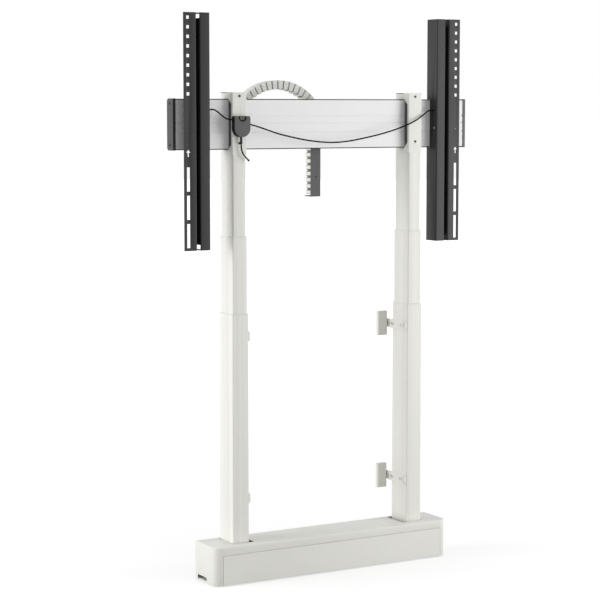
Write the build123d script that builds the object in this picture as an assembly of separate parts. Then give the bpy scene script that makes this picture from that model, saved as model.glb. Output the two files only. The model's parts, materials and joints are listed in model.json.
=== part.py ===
from build123d import *
import math
import os

# A floor-standing television lift: two telescopic columns on a slim base carry a
# cross bar, and two hooked strips on the bar hold the screen.
# Millimetres, +Z up, -Y towards the viewer. The origin lies on the floor, midway
# between the columns and on their centre plane.

# Shared clearances
cut_over = 4.0          # how far a cutter runs past the face that it opens
slip_gap = 0.3          # between a sliding piece and its guide
seat_gap = 0.2          # round a plug in its socket
run_gap = 0.05          # radial play of a turning shaft
seam_gap = 0.7          # visible seam between two panels

# Columns
column_x = 282.0        # from the middle of the base to a column's centre
column_wall = 1.5
column_corner = 4.0
outer_size = (50.0, 80.0)
tube_step = 5.0         # each tube is this much smaller than the one round it
outer_top = 739.0
middle_bottom = 275.0
middle_top = 948.5
inner_bottom = 476.0
head_top = 1336.0
collar_height = 3.0
glide_height = 60.0
glide_above = 6.0       # from a tube's lower end to its glides
glide_width = 26.0
glide_end_gap = 0.2

# Base
base_length = 755.0
base_front = -72.0
base_back = 50.0
base_top = 108.0
base_corner = 27.0
base_wall = 2.0
base_edge = 2.5         # rounding of the cover's top edge
foot_height = 3.0
foot_radius = 15.0
foot_inset = 34.0
floor_plate = 3.0
floor_plate_gap = 0.5
panel_half = 354.6
panel_seam = 85.5
panel_sheet = 1.5
panel_lip = 12.0        # folded edges of the front panel
rear_panel_lip = 6.0
panel_screw = (2.8, 1.2)
panel_screw_shares = (0.12, 0.5, 0.95)
rear_lip = 12.0
column_gap = 3.0        # between the base's top and a column
cable_gap = 14.0        # the same on the column's inner side, for cables
notch_front = -17.0
notch_back = 37.0
notch_height = 14.0
notch_corner = 4.0

# Column feet and drive
foot_plate = (122.0, 90.0, 8.0)
foot_plate_shift = -3.0  # towards the front, clear of the back panel
bolt_radius = 4.0
bolt_head = (6.5, 5.5)
bolt_play = 0.3
bolt_inset = 10.0
gearbox_height = 54.0
motor_radius = 22.0
motor_length = 110.0
motor_height = 30.0     # motor axis above the foot plate
motor_nose = 14.0
motor_nose_length = 6.0
window_play = 2.0
spindle_radius = 7.0
spindle_top = 740.0
journal_radius = 5.0
journal_length = 18.0
stop_radius = 10.0
stop_height = 4.0
nut_height = 25.0

# Control box
control_size = (120.0, 80.0, 34.0)
control_corner = 4.0
inlet_size = (14.0, 20.0, 14.0)
inlet_face = (12.0, 7.0)
inlet_depth = 3.0
inlet_pin = 1.2
inlet_pitch = 6.0
motor_cable_radius = 2.0
motor_cable_run = 18.0  # straight stretch at each end of a motor cable
motor_cable_low = 20.0  # its height at the control box, above the floor plate

# Wall arms
arm_sheet = 3.0
arm_height = 28.0
arm_tail = 24.0         # height of the arm at its rear end
arm_front = -38.0
arm_back = 66.0
arm_bend = 5.0
arm_tab = 28.0
arm_levels = (230.0, 676.0)
arm_screw_y = (-14.5, 32.0)
arm_hole_y = 48.5
arm_screw_head = (5.0, 2.5)
arm_screw_shank = (3.0, 4.5)
arm_ring = (13.0, 27.0, 2.0)
arm_ring_hole = (8.0, 22.0)
pad_size = (32.0, 14.0, 70.0)
pad_corner = 4.0
pad_front = 56.0
pad_side_gap = 2.0      # between a pad and the plane of its arm

# Bar and caps
bar_half = 461.0
bar_bottom = 1182.5
bar_top = 1318.5
bar_front = -12.5
bar_depth = 32.5
bar_wall = 2.5
bar_edge = 2.5          # dark edge strips along the top and the bottom
bar_groove = (1.4, 2.4)
groove_shares = (0.33, 0.48, 0.67)
rib_shares = (0.36, 0.64)
cap_length = 9.0
cap_proud = 1.0
cap_rear_corner = 9.0
cap_front_corner = 3.0
cap_plug = 12.0
cap_screw = (3.0, 1.2)
cap_screw_inset = 13.0

# Column heads
strap_sheet = 2.0
strap_bottom = 1168.0
strap_back = -10.0
strap_lip = 5.0         # depth of the strap's sides in front of the bar
strap_gusset = 14.0
strap_corner = 2.5
head_screw = (3.2, 1.6)
head_screw_shank = 2.2
head_screw_in = 5.0
head_screw_top = 1326.0
head_screw_low = 1200.0
block_inset = 7.0       # black block's distance from the bar's edges
cap_sheet = 2.0
cap_depth = 10.0

# Strips
strip_top = 1544.5
strip_length = 628.5
strip_width = 78.0
strip_front = -48.0
strip_sheet = 2.0
strip_bend = 2.2        # radius of the folds at the middle of the sheet
strip_flange = 38.0
strip_groove = 10.5
hook_depth = 50.0
strip_insets = {"left": 85.0, "right": 113.5}   # inner edge from the bar's end
slot_from_edge = 12.8
first_hole = 13.5       # below the strip's top
hole_pitch = 25.0
hole_count = 9
hole_side = 8.5
slot_size = (9.0, 64.0)
slot_drops = (425.0, 500.0, 575.0)
arrow_drop = 356.0
arrow_size = (13.0, 19.0)
arrow_stem_share = 0.32
arrow_head_share = 0.42
pilot_drop = 296.0
pilot_radius = 1.6
window_side = 11.0
window_inset = 3.5
bar_notch_gap = 0.3     # between the bar's edges and a strip's hook
cord_hole = 2.7

# Latches
latch_sheet = 4.0
latch_inset = 18.0      # from the strip's inner edge to the latch
latch_arm = 12.0        # width of the arm below the pivot
latch_hub = 8.0
latch_pivot_in = 13.0   # pivot behind the strip's front
latch_pivot_rise = 55.5 # pivot above the bar's lower edge
latch_step = 2.0        # the arm's bend behind the pivot
latch_rise = 60.0       # upper end above the pivot
latch_hook_reach = 8.0  # how far the hook goes under the bar
latch_hook_height = 9.0
latch_hook_gap = 0.5
latch_pin_radius = 3.0
spring_radius = 5.5
spring_gap = 0.5

# Cable chain
chain_pitch = 17.5
chain_link_count = 35
chain_top = 1370.0      # outer face of the arch's top
chain_top_radius = 146.0     # the arch is flatter at its top than at its shoulders
chain_side_radius = 60.0
chain_top_angle = 40    # degrees of the flatter arc on each side of the middle
chain_height = 24.0
chain_front = 37.0
chain_width = 32.0
chain_wall = 2.5
chain_neck = 6.0
chain_gap = 0.3
shelf_top = 1050.5
shelf_sheet = 3.0
chain_plate_x = (-19.0, 12.0)
chain_plate_front = 33.0
chain_plate_sheet = 3.0
chain_plate_top = 1232.0
chain_plate_hole = (1103.0, 2.0)
spacer_size = (16.0, 24.0)
spacer_level = 1210.0
clip_sheet = 3.0
clip_drop = 34.0

# Pull cord and handle
cord_radius = 2.0
cord_bend_share = 0.45
handle_x = -282.0
handle_width = 48.0
handle_top = 1272.5
handle_height = 56.0
handle_depth = 18.0
handle_stand = 0.3      # between the handle and the strap behind it
handle_corner = 5.0
handle_edge = 1.2
scoop_radius = 12.0
scoop_depth = 3.0
scoop_step = 3.0
sleeve_radius = 3.3
sleeve_length = 18.0
end_bead = 3.0
cord_y = -46.0          # plane of the sleeve under the handle

# The cords' routes are lists of hand-chosen points, in millimetres
left_route = [
    (-394.0, -37.0, 1288.0), (-388.0, -37.0, 1288.0), (-380.5, -30.0, 1288.0),
    (-362.0, -30.0, 1288.0), (-343.5, -38.5, 1277.0), (-325.0, -46.0, 1265.0),
    (-306.0, -46.0, 1265.0)]
right_route = [
    (-258.0, -46.0, 1251.0), (-240.0, -46.0, 1251.0), (-209.0, -46.5, 1240.5),
    (-172.0, -46.0, 1226.5), (-130.0, -46.5, 1216.0), (-86.0, -46.0, 1207.5),
    (-40.0, -46.5, 1201.5), (8.0, -46.0, 1199.0), (56.0, -46.5, 1202.5),
    (104.0, -46.0, 1210.5), (152.0, -46.5, 1219.5), (198.0, -46.0, 1230.5),
    (240.0, -46.5, 1243.5), (277.0, -47.0, 1258.5), (306.0, -43.5, 1275.0),
    (331.5, -30.0, 1288.0), (352.0, -30.0, 1288.0), (359.5, -37.0, 1288.0),
    (365.5, -37.0, 1288.0)]
tail_route = [
    (-282.0, -46.0, 1198.5), (-282.0, -46.0, 1186.0), (-278.5, -46.6, 1174.5),
    (-271.0, -46.4, 1164.0), (-260.5, -46.0, 1155.0)]

# Worked-out places
middle_size = (outer_size[0] - tube_step, outer_size[1] - tube_step)
inner_size = (middle_size[0] - tube_step, middle_size[1] - tube_step)
bar_back = bar_front + bar_depth
bar_middle_y = bar_front + bar_depth / 2
floor_top = foot_height + floor_plate
foot_top = floor_top + foot_plate[2]
strap_front = -inner_size[1] / 2 - strap_sheet
handle_back = strap_front - handle_stand
handle_front = handle_back - handle_depth
chain_leg_x = sum(chain_plate_x) / 2
shoulder_angle = 90 - chain_top_angle
chain_middle_z = chain_top - chain_height / 2 - chain_top_radius
shoulder_rise = (chain_top_radius - chain_side_radius) * math.sin(math.radians(shoulder_angle))
shoulder_run = (chain_top_radius - chain_side_radius) * math.cos(math.radians(shoulder_angle))
shoulder_z = chain_middle_z + shoulder_rise
chain_middle_x = chain_leg_x - chain_side_radius - shoulder_run
motor_z = foot_top + motor_height
gearbox_top = foot_top + gearbox_height
latch_pivot = (strip_front + latch_pivot_in, bar_bottom + latch_pivot_rise)
sides = {"left": -1, "right": 1}
strip_inner = {side: sign * (bar_half - strip_insets[side]) for side, sign in sides.items()}
parts = {}


def block(x, y, z):
    """A box from its low and high X, Y and Z."""
    centre = ((x[0] + x[1]) / 2, (y[0] + y[1]) / 2, (z[0] + z[1]) / 2)
    return Pos(*centre) * Box(abs(x[1] - x[0]), abs(y[1] - y[0]), abs(z[1] - z[0]))


def rod(centre, radius, length, axis):
    """A cylinder round its centre, along X, Y or Z."""
    turn = {"x": Rot(0, 90, 0), "y": Rot(90, 0, 0), "z": Rot(0, 0, 0)}[axis]
    return Pos(*centre) * turn * Cylinder(radius, length)


def keep(name, *solids):
    """Gives a node its separate solids."""
    found = []
    for item in solids:
        found += list(item.solids())
    parts[name] = found


def column_box(x, size, low, high, corner):
    """A solid upright bar with rounded corners, round a column's centre."""
    outline = Pos(x, 0, low) * RectangleRounded(size[0], size[1], corner)
    return extrude(outline, high - low)


def column_tube(x, size, low, high):
    """A rectangular tube with rounded corners."""
    hollow = (size[0] - 2 * column_wall, size[1] - 2 * column_wall)
    body = column_box(x, size, low, high, column_corner)
    return body - column_box(x, hollow, low - cut_over, high + cut_over, column_corner - column_wall)


def collar(x, size, inside, top):
    """The guide ring in a tube's upper end, round the next tube."""
    hole = (inside[0] + 2 * slip_gap, inside[1] + 2 * slip_gap)
    ring = column_box(x, size, top - collar_height, top, column_corner)
    return ring - column_box(x, hole, top - 2 * collar_height, top + cut_over, column_corner)


def glides(x, size, guide, low):
    """Four flat pads on a tube's sides, which run in the next larger tube."""
    room = (guide[0] / 2 - column_wall - size[0] / 2 - glide_end_gap,
            guide[1] / 2 - column_wall - size[1] / 2 - glide_end_gap)
    z = (low + glide_above, low + glide_above + glide_height)
    half = glide_width / 2
    pads = []
    for sign in (-1, 1):
        side = sorted((sign * size[0] / 2, sign * (size[0] / 2 + room[0])))
        pads.append(block((x + side[0], x + side[1]), (-half, half), z))
        face = sorted((sign * size[1] / 2, sign * (size[1] / 2 + room[1])))
        pads.append(block((x - half / 2, x + half / 2), face, z))
    return pads


def base_outline(inset):
    """The base's plan: rounded at the front, square at the back."""
    half = base_length / 2 - inset
    depth = base_back - base_front - 2 * inset
    middle = (base_front + base_back) / 2
    plan = Pos(0, middle) * Rectangle(2 * half, depth)
    front = plan.vertices().filter_by(lambda v: v.Y < middle)
    return fillet(front, base_corner - inset)


def base_parts():
    """Feet, floor plate, cover and panels."""
    half = base_length / 2
    foot_places = [(0.0, 0.0)]
    for sign in (-1, 1):
        foot_places += [(sign * (half - foot_inset), base_front + foot_inset),
                        (sign * (half - foot_inset), base_back - foot_radius - base_wall)]
    keep("base_feet", *[rod((x, y, foot_height / 2), foot_radius, foot_height, "z")
                        for x, y in foot_places])

    inset = base_wall + floor_plate_gap
    plate = extrude(Pos(0, 0, foot_height) * base_outline(inset), floor_plate)
    for x, y in bolt_places():
        plate -= rod((x, y, floor_top), bolt_radius + bolt_play, 4 * floor_plate, "z")
    keep("base_plate", plate)

    shell = extrude(Pos(0, 0, foot_height) * base_outline(0), base_top - foot_height)
    shell = fillet(shell.edges().group_by(Axis.Z)[-1], base_edge)
    room = extrude(Pos(0, 0, foot_height - cut_over) * base_outline(base_wall),
                   base_top - base_wall - foot_height + cut_over)
    shell -= room
    low = foot_height - cut_over
    front_gap = block((-panel_half, panel_half), (base_front - cut_over, base_front + base_corner),
                      (low, panel_seam))
    back_gap = block((-panel_half, panel_half), (base_back - base_wall - seat_gap, base_back + cut_over),
                     (low, base_top - rear_lip))
    notch = block((-half - cut_over, -half + base_corner), (notch_front, notch_back),
                  (low, foot_height + notch_height))
    notch = fillet(notch.edges().filter_by(Axis.X).group_by(Axis.Z)[-1], notch_corner)
    shell -= front_gap
    shell -= back_gap
    shell -= notch
    for sign in sides.values():
        x = (sign * (column_x - outer_size[0] / 2 - cable_gap),
             sign * (column_x + outer_size[0] / 2 + column_gap))
        y = outer_size[1] / 2 + column_gap
        shell -= block(sorted(x), (-y, y), (base_top - base_wall - cut_over, base_top + cut_over))
    keep("base_cover", shell)

    keep("front_panel", base_panel(base_front, panel_lip, panel_seam - seam_gap))
    keep("back_panel", base_panel(base_back, -rear_panel_lip, base_top - rear_lip - seam_gap))
    heads = []
    for sign in (-1, 1):
        for level in (floor_top + panel_lip, base_top - rear_lip - panel_lip):
            for share in panel_screw_shares:
                place = (sign * share * panel_half, base_back + panel_screw[1] / 2, level)
                heads.append(rod(place, panel_screw[0], panel_screw[1], "y"))
    keep("panel_screws", *heads)


def base_panel(face, lip, top):
    """A folded panel with its outer face at Y = face and lips that run lip inwards."""
    half = panel_half - seam_gap
    x = (-half, half)
    sheet = sorted((face, face + math.copysign(panel_sheet, lip)))
    depth = sorted((face, face + lip))
    panel = block(x, sheet, (foot_height + slip_gap, top))
    panel += block(x, depth, (floor_top, floor_top + panel_sheet))
    panel += block(x, depth, (top - panel_sheet, top))
    return panel


def bolt_places():
    """The X and Y of the bolts that hold the two foot plates down."""
    places = []
    for sign in sides.values():
        for dx in (-1, 1):
            for dy in (-1, 1):
                places.append((sign * column_x + dx * (foot_plate[0] / 2 - bolt_inset),
                               foot_plate_shift + dy * (foot_plate[1] / 2 - bolt_inset)))
    return places


def drive_parts():
    """Foot plates, gear motors, spindles, nuts, control box and its cables."""
    plates = []
    nuts = []
    for name, sign in sides.items():
        x = sign * column_x
        plate = Pos(x, foot_plate_shift, (floor_top + foot_top) / 2) * Box(*foot_plate)
        for bolt_x, bolt_y in bolt_places():
            plate -= rod((bolt_x, bolt_y, foot_top), bolt_radius + bolt_play, 4 * foot_plate[2], "z")
        plates.append(plate)

        room = (outer_size[0] / 2 - column_wall - seat_gap, outer_size[1] / 2 - column_wall - seat_gap)
        gearbox = block((x - room[0], x + room[0]), (-room[1], room[1]), (foot_top, gearbox_top))
        gearbox = fillet(gearbox.edges().filter_by(Axis.Z), column_corner)
        gearbox -= rod((x, 0, gearbox_top), journal_radius + run_gap, 2 * journal_length, "z")
        nose = x - sign * room[0]
        tip = nose - sign * motor_nose_length
        end = tip - sign * motor_length
        neck = rod(((nose + tip) / 2, 0, motor_z), motor_nose, motor_nose_length, "x")
        motor = rod(((tip + end) / 2, 0, motor_z), motor_radius, motor_length, "x")
        keep(name + "_gear_motor", gearbox, neck + motor)

        shaft = rod((x, 0, (gearbox_top + slip_gap + spindle_top) / 2), spindle_radius,
                    spindle_top - gearbox_top - slip_gap, "z")
        shaft += rod((x, 0, gearbox_top - journal_length / 2 + slip_gap), journal_radius,
                     journal_length, "z")
        shaft += rod((x, 0, spindle_top - stop_height / 2), stop_radius, stop_height, "z")
        keep(name + "_spindle", shaft)

        room = (inner_size[0] / 2 - column_wall - seat_gap, inner_size[1] / 2 - column_wall - seat_gap)
        nut_z = (inner_bottom, inner_bottom + nut_height)
        nut = block((x - room[0], x + room[0]), (-room[1], room[1]), nut_z)
        nut = fillet(nut.edges().filter_by(Axis.Z), column_corner - column_wall)
        nut -= rod((x, 0, inner_bottom), spindle_radius + run_gap, 4 * nut_height, "z")
        nuts.append(nut)
    bolts = []
    grip = foot_plate[2] + floor_plate
    for x, y in bolt_places():
        bolts.append(rod((x, y, foot_top + bolt_head[1] / 2), bolt_head[0], bolt_head[1], "z")
                     + rod((x, y, foot_top - grip / 2), bolt_radius, grip, "z"))
    keep("foot_plates", *plates)
    keep("foot_bolts", *bolts)
    keep("spindle_nuts", *nuts)

    low = floor_top
    case = Pos(0, 0, low + control_size[2] / 2) * Box(*control_size)
    case = fillet(case.edges().filter_by(Axis.Z), control_corner)
    keep("control_box", case)
    left_end = -control_size[0] / 2
    inlet_y = -control_size[1] / 2 + inlet_size[1] / 2 + control_corner
    inlet_z = low + control_size[2] / 2
    inlet = Pos(left_end - inlet_size[0] / 2, inlet_y, inlet_z) * Box(*inlet_size)
    mouth = Pos(left_end - inlet_size[0], inlet_y, inlet_z) * Box(2 * inlet_depth, *inlet_face)
    inlet -= mouth
    for sign in (-1, 1):
        inlet += rod((left_end - inlet_size[0] + inlet_depth / 2, inlet_y + sign * inlet_pitch / 2, inlet_z),
                     inlet_pin, inlet_depth, "x")
    keep("mains_inlet", inlet)

    cables = []
    motor_end = column_x - outer_size[0] / 2 + column_wall + seat_gap - motor_nose_length - motor_length
    for sign in sides.values():
        start = sign * control_size[0] / 2
        end = sign * motor_end
        route = [(start, 0, low + motor_cable_low),
                 (start + sign * motor_cable_run, 0, low + motor_cable_low),
                 (end - sign * motor_cable_run, 0, motor_z), (end, 0, motor_z)]
        cables.append(cord_tube(route, motor_cable_radius, "motor cable"))
    keep("motor_cables", *cables)


def column_parts():
    """The six tubes of the two telescopic columns, with collars and glides."""
    collars = []
    inner_pads = []
    caps = []
    for name, sign in sides.items():
        x = sign * column_x
        outer = column_tube(x, outer_size, foot_top, outer_top - collar_height)
        hole = motor_nose + window_play
        inner_face = x - sign * outer_size[0] / 2
        outer -= rod((inner_face, 0, motor_z), hole, 4 * column_wall, "x")
        for level in arm_levels:
            for y in arm_screw_y:
                outer -= rod((inner_face, y, level), arm_screw_shank[0] + seat_gap, 4 * column_wall, "x")
        keep(name + "_outer_tube", outer)
        collars.append(collar(x, outer_size, middle_size, outer_top))

        keep(name + "_middle_tube", column_tube(x, middle_size, middle_bottom, middle_top - collar_height))
        keep(name + "_middle_collar", collar(x, middle_size, inner_size, middle_top))
        keep(name + "_middle_glides", *glides(x, middle_size, outer_size, middle_bottom))

        inner = column_tube(x, inner_size, inner_bottom, head_top - cap_sheet)
        inner -= block((x - inner_size[0], x + inner_size[0]), (-inner_size[1], bar_back),
                       (bar_bottom, bar_top))
        keep(name + "_inner_tube", inner)
        inner_pads += glides(x, inner_size, middle_size, inner_bottom)

        hollow = (inner_size[0] - 2 * (column_wall + seat_gap), inner_size[1] - 2 * (column_wall + seat_gap))
        cap = column_box(x, inner_size, head_top - cap_sheet, head_top, column_corner)
        cap += column_box(x, hollow, head_top - cap_sheet - cap_depth, head_top - cap_sheet,
                          column_corner - column_wall)
        caps.append(cap)
    keep("outer_collars", *collars)
    keep("inner_glides", *inner_pads)
    keep("head_caps", *caps)


def wall_arm(sign, level):
    """One folded arm on a column's inner face, its rear tab turned inwards."""
    face = sign * (column_x - outer_size[0] / 2)
    inner = face - sign * arm_sheet
    z = (level - arm_height / 2, level + arm_height / 2)
    arm = block(sorted((face, inner)), (arm_front, arm_back), z)
    tab_x = sorted((face, face - sign * (arm_sheet + arm_tab)))
    arm += block(tab_x, (arm_back - arm_sheet, arm_back), z)
    corner = arm.edges().filter_by(Axis.Z).filter_by(
        lambda e: abs(e.center().X - face) < seat_gap and abs(e.center().Y - arm_back) < seat_gap)
    arm = fillet(corner, arm_bend)
    tail_start = outer_size[1] / 2
    rear = arm_back + cut_over
    for edge in (-1, 1):
        outline = make_face(Polyline([
            (tail_start, level + edge * arm_height / 2), (rear, level + edge * arm_height / 2),
            (rear, level + edge * arm_tail / 2), (pad_front, level + edge * arm_tail / 2)], close=True))
        arm -= extrude(Plane.YZ * outline, column_x, both=True)
    ring_y = arm_front + arm_ring[0] / 2
    for y in arm_screw_y + (arm_hole_y,):
        arm -= rod((inner, y, level), arm_screw_shank[0] + seat_gap, 4 * arm_sheet, "x")
    ring_x = inner - sign * arm_ring[2]
    ring_plane = Plane((inner, ring_y, level), x_dir=(0, 1, 0), z_dir=(-sign, 0, 0))
    ring = ring_plane * (SlotOverall(arm_ring[1], arm_ring[0], rotation=90)
                         - SlotOverall(arm_ring_hole[1], arm_ring_hole[0], rotation=90))
    arm += extrude(ring, abs(ring_x - inner))
    return arm


def arm_parts():
    """Wall arms, their screws and the pads that stand off the wall."""
    pads = []
    screws = []
    for name, sign in sides.items():
        face = sign * (column_x - outer_size[0] / 2)
        inner = face - sign * arm_sheet
        for label, level in zip(("lower", "upper"), arm_levels):
            keep(name + "_" + label + "_arm", wall_arm(sign, level))
            for y in arm_screw_y:
                head = rod((inner - sign * arm_screw_head[1] / 2, y, level), arm_screw_head[0],
                           arm_screw_head[1], "x")
                shank = rod((inner + sign * arm_screw_shank[1] / 2, y, level), arm_screw_shank[0],
                            arm_screw_shank[1], "x")
                screws.append(head + shank)
            start = inner - sign * pad_side_gap
            x = sorted((start, start - sign * pad_size[0]))
            pad = block(x, (pad_front, pad_front + pad_size[1]),
                        (level - pad_size[2] / 2, level + pad_size[2] / 2))
            pad = fillet(pad.edges().filter_by(Axis.Z), pad_corner)
            slot_x = sorted((start + sign * cut_over, face - sign * (arm_sheet + arm_tab + slip_gap)))
            pad -= block(slot_x, (arm_back - arm_sheet - slip_gap, arm_back + slip_gap),
                         (level - arm_tail / 2 - slip_gap, level + arm_tail / 2 + slip_gap))
            pads.append(pad)
    keep("wall_pads", *pads)
    keep("arm_screws", *screws)


def cap_section():
    """An end cap's outline in the YZ plane, a little larger than the bar on every side."""
    size = (bar_depth + 2 * cap_proud, bar_top - bar_bottom + 2 * cap_proud)
    plan = Plane.YZ * Pos(bar_middle_y, (bar_bottom + bar_top) / 2) * Rectangle(*size)
    plan = fillet(plan.vertices().filter_by(lambda v: v.Y < bar_middle_y), cap_front_corner)
    rear = plan.vertices().filter_by(lambda v: v.Y > bar_back)
    return fillet(rear, cap_rear_corner)


def bar_parts():
    """The hollow cross bar, its edge strips, end caps and their screws."""
    low = bar_bottom + bar_edge
    high = bar_top - bar_edge
    bar = block((-bar_half, bar_half), (bar_front, bar_back), (low, high))
    levels = [low] + [low + share * (high - low) for share in rib_shares] + [high]
    x_open = bar_half + cut_over
    for start, end in zip(levels, levels[1:]):
        first = start + (bar_wall if start == low else bar_wall / 2)
        last = end - (bar_wall if end == high else bar_wall / 2)
        bar -= block((-x_open, x_open), (bar_front + bar_wall, bar_back - bar_wall), (first, last))
    for share in groove_shares:
        level = high - share * (high - low)
        bar -= block((-x_open, x_open), (bar_front - cut_over, bar_front + bar_groove[0]),
                     (level - bar_groove[1] / 2, level + bar_groove[1] / 2))
    keep("lift_bar", bar)
    keep("bar_edge_strips",
         block((-bar_half, bar_half), (bar_front, bar_back), (bar_bottom, low)),
         block((-bar_half, bar_half), (bar_front, bar_back), (high, bar_top)))

    screws = []
    for name, sign in sides.items():
        cap = extrude(cap_section(), cap_length / 2, both=True)
        cap = Pos(sign * (bar_half + cap_length / 2), 0, 0) * cap
        ends = sorted((sign * bar_half, sign * (bar_half - cap_plug)))
        gap = bar_wall + seat_gap
        for start, end in ((levels[0], levels[1]), (levels[2], levels[3])):
            cap += block(ends, (bar_front + gap, bar_back - gap), (start + gap, end - gap))
        for level in (bar_bottom + cap_screw_inset, bar_top - cap_screw_inset):
            screws.append(rod((sign * (bar_half + cap_length + cap_screw[1] / 2), bar_middle_y, level),
                              cap_screw[0], cap_screw[1], "x"))
        keep(name + "_end_cap", cap)
    keep("end_cap_screws", *screws)


def head_parts():
    """The straps, blocks and screws that clamp the bar to the column heads."""
    blocks = []
    screws = []
    half = inner_size[0] / 2
    tube_front = -inner_size[1] / 2
    for name, sign in sides.items():
        x = sign * column_x
        strap = block((x - half - strap_sheet, x + half + strap_sheet), (strap_front, strap_back),
                      (strap_bottom, head_top))
        strap = fillet(strap.edges().filter_by(Axis.Z).group_by(Axis.Y)[0], strap_corner)
        strap -= block((x - half, x + half), (tube_front, strap_back + cut_over),
                       (strap_bottom - cut_over, head_top + cut_over))
        front = tube_front + strap_lip
        opening = make_face(Polyline([
            (strap_back + cut_over, bar_bottom), (bar_front, bar_bottom), (front, bar_bottom + strap_gusset),
            (front, bar_top - strap_gusset), (bar_front, bar_top),
            (strap_back + cut_over, bar_top)], close=True))
        strap -= extrude(Pos(x, 0, 0) * (Plane.YZ * opening), inner_size[0], both=True)
        for level in (head_screw_low, head_screw_top):
            strap -= rod((x, strap_front, level), head_screw_shank + seat_gap, 4 * strap_sheet, "y")
        keep(name + "_head_strap", strap)

        filler = block((x - half, x + half), (tube_front, bar_front),
                       (bar_bottom + block_inset, bar_top - block_inset))
        filler -= rod((x, strap_front, head_screw_low), head_screw_shank + seat_gap,
                      2 * (head_screw_in + strap_sheet + cut_over), "y")
        blocks.append(filler)
        for level in (head_screw_low, head_screw_top):
            head = rod((x, strap_front - head_screw[1] / 2, level), head_screw[0], head_screw[1], "y")
            shank = rod((x, strap_front + head_screw_in / 2, level), head_screw_shank, head_screw_in, "y")
            if level > bar_top:
                shank = rod((x, strap_front + strap_sheet / 2, level), head_screw_shank, strap_sheet, "y")
            screws.append(head + shank)
    keep("head_blocks", *blocks)
    keep("head_screws", *screws)


def strip_part(name, sign):
    """One folded strip: flange, groove, box face and hook wall, with its holes."""
    inner = strip_inner[name]
    low = strip_top - strip_length
    back = bar_front

    def span(start, end):
        return sorted((inner + sign * start, inner + sign * end))

    groove_start = strip_width - strip_flange - strip_groove
    groove_end = strip_width - strip_flange
    sheet = strip_sheet
    half = sheet / 2
    face = strip_front + half
    floor = back - half
    folds = [(strip_width, face), (groove_end + half, face), (groove_end + half, floor),
             (groove_start - half, floor), (groove_start - half, face), (half, face),
             (half, strip_front + hook_depth)]
    line = FilletPolyline(*[(inner + sign * x, y) for x, y in folds], radius=strip_bend)
    flange = extrude(Pos(0, 0, low) * trace(line, sheet), strip_length)
    flange -= block(span(-sheet, 2 * sheet), (bar_front, strip_front + hook_depth + cut_over),
                    (bar_bottom - bar_notch_gap, bar_top + bar_notch_gap))

    hole_x = inner + sign * (strip_width - slot_from_edge)
    top_hole = strip_top - first_hole
    y = (strip_front - cut_over, strip_front + 2 * sheet)
    half = hole_side / 2
    for step in range(hole_count):
        level = top_hole - step * hole_pitch
        flange -= block((hole_x - half, hole_x + half), y, (level - half, level + half))
    for drop in slot_drops:
        level = top_hole - drop
        flange -= block((hole_x - slot_size[0] / 2, hole_x + slot_size[0] / 2), y,
                        (level - slot_size[1] / 2, level + slot_size[1] / 2))
    flange -= rod((hole_x, strip_front, top_hole - pilot_drop), pilot_radius, 4 * sheet, "y")
    flange -= arrow_cutter(hole_x, top_hole - arrow_drop)

    window_start = -cut_over if sign < 0 else 2 * sheet
    for level in (strip_top - window_inset - window_side / 2, low + window_inset + window_side / 2):
        flange -= block(span(window_start, groove_start + cut_over),
                        (strip_front + window_inset, strip_front + hook_depth + cut_over),
                        (level - window_side / 2, level + window_side / 2))
    cord_level = left_route[2] if sign < 0 else right_route[-3]
    flange -= rod((inner, cord_level[1], cord_level[2]), cord_hole, 4 * sheet, "x")
    pin_half = latch_pin_radius + run_gap
    flange -= rod((inner, latch_pivot[0], latch_pivot[1]), pin_half, 4 * sheet, "x")
    flange -= rod((inner + sign * groove_start, latch_pivot[0], latch_pivot[1]), pin_half, 4 * sheet, "x")
    keep(name + "_strip", flange)


def arrow_cutter(x, level):
    """A plain arrow that points up, cut through the flange."""
    half = arrow_size[0] / 2
    stem = arrow_size[0] * arrow_stem_share / 2
    high = level + arrow_size[1] / 2
    shoulder = high - arrow_size[1] * arrow_head_share
    low = level - arrow_size[1] / 2
    outline = make_face(Polyline([
        (x, high), (x + half, shoulder), (x + stem, shoulder), (x + stem, low),
        (x - stem, low), (x - stem, shoulder), (x - half, shoulder)], close=True))
    return extrude(Plane.XZ.offset(-strip_front) * outline, 2 * strip_sheet, both=True)


def latch_parts(name, sign):
    """The sprung hook that grips the bar's lower edge, with its pin and spring."""
    inner = strip_inner[name]
    pivot_y, pivot_z = latch_pivot
    x = sorted((inner + sign * latch_inset, inner + sign * (latch_inset + latch_sheet)))
    middle = (x[0] + x[1]) / 2
    step = pivot_y + latch_step
    hook_top = bar_bottom - latch_hook_gap
    hook_low = hook_top - latch_hook_height
    arm = block(x, (strip_front + strip_sheet + slip_gap, step), (pivot_z, pivot_z + latch_rise))
    arm += rod((middle, pivot_y, pivot_z), latch_hub, latch_sheet, "x")
    arm += block(x, (step, step + latch_arm), (hook_low, pivot_z))
    arm += block(x, (step, bar_front + latch_hook_reach), (hook_low, hook_top))
    arm -= rod((middle, pivot_y, pivot_z), latch_pin_radius + run_gap, 4 * latch_sheet, "x")
    keep(name + "_latch", arm)

    pin_end = strip_width - strip_flange - strip_groove
    pin = rod((inner + sign * pin_end / 2, pivot_y, pivot_z), latch_pin_radius, pin_end, "x")
    keep(name + "_latch_pin", pin)
    start = latch_inset + latch_sheet + spring_gap
    end = pin_end - strip_sheet - spring_gap
    place = (inner + sign * (start + end) / 2, pivot_y, pivot_z)
    coil = rod(place, spring_radius, end - start, "x")
    coil -= rod(place, latch_pin_radius + slip_gap, 2 * (end - start), "x")
    keep(name + "_latch_spring", coil)


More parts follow.
